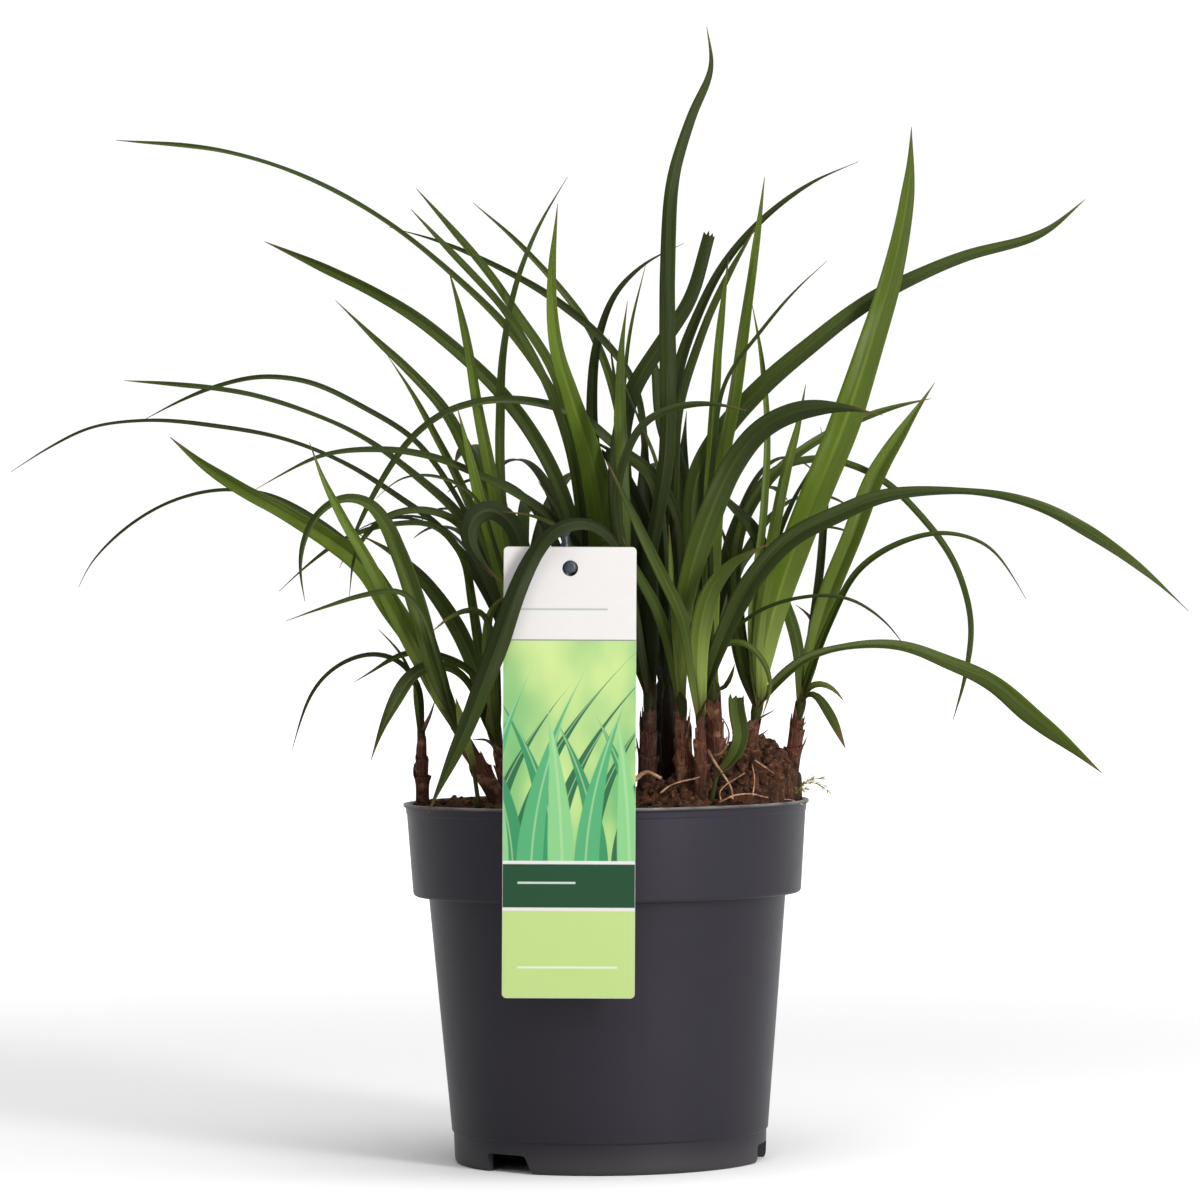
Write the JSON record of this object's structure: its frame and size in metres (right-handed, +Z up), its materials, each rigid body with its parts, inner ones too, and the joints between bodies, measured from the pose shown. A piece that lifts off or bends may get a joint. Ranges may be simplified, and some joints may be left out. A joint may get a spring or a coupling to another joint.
{
  "type": "potted carex sedge",
  "caption": "Broad-leaved green sedge in a round dark grey nursery pot with soil, a hanging printed label and its stake.",
  "frame": {"origin": "centre of the pot's flat base, on the surface it stands on", "axes": "+Z up along the pot's axis, -Y towards the front where the label hangs, +X to the right as seen from the front"},
  "size_m": [0.5399, 0.2641, 0.5213],
  "materials": {
    "pot_plastic": null,
    "peat": null,
    "printed_card": null,
    "stake_plastic": null,
    "leaf": null,
    "sheath": null
  },
  "bodies": {
    "root": {"nursery_pot": "pot_plastic", "soil": "peat", "hanging_label": "printed_card", "label_stake": "stake_plastic", "left_stem_leaves": "leaf", "left_stem_sheath": "sheath", "left_front_shoot_leaves": "leaf", "left_front_shoot_sheath": "sheath", "left_shoot_leaves": "leaf", "left_shoot_sheath": "sheath", "label_left_shoot_leaves": "leaf", "label_left_shoot_sheath": "sheath", "label_back_shoot_leaves": "leaf", "label_back_shoot_sheath": "sheath", "centre_back_shoot_leaves": "leaf", "centre_back_shoot_sheath": "sheath", "centre_front_shoot_leaves": "leaf", "centre_front_shoot_sheath": "sheath", "centre_shoot_leaves": "leaf", "centre_shoot_sheath": "sheath", "right_inner_shoot_leaves": "leaf", "right_inner_shoot_sheath": "sheath", "right_middle_shoot_leaves": "leaf", "right_middle_shoot_sheath": "sheath", "inner_shoot_leaves": "leaf", "inner_shoot_sheath": "sheath", "mound_shoot_leaves": "leaf", "mound_shoot_sheath": "sheath", "right_shoot_leaves": "leaf", "right_shoot_sheath": "sheath", "right_stem_leaves": "leaf", "right_stem_sheath": "sheath", "back_left_shoot_leaves": "leaf", "back_left_shoot_sheath": "sheath", "back_right_shoot_leaves": "leaf", "back_right_shoot_sheath": "sheath", "young_leaf": "leaf", "broken_leaf": "leaf"}
  },
  "joints": []
}
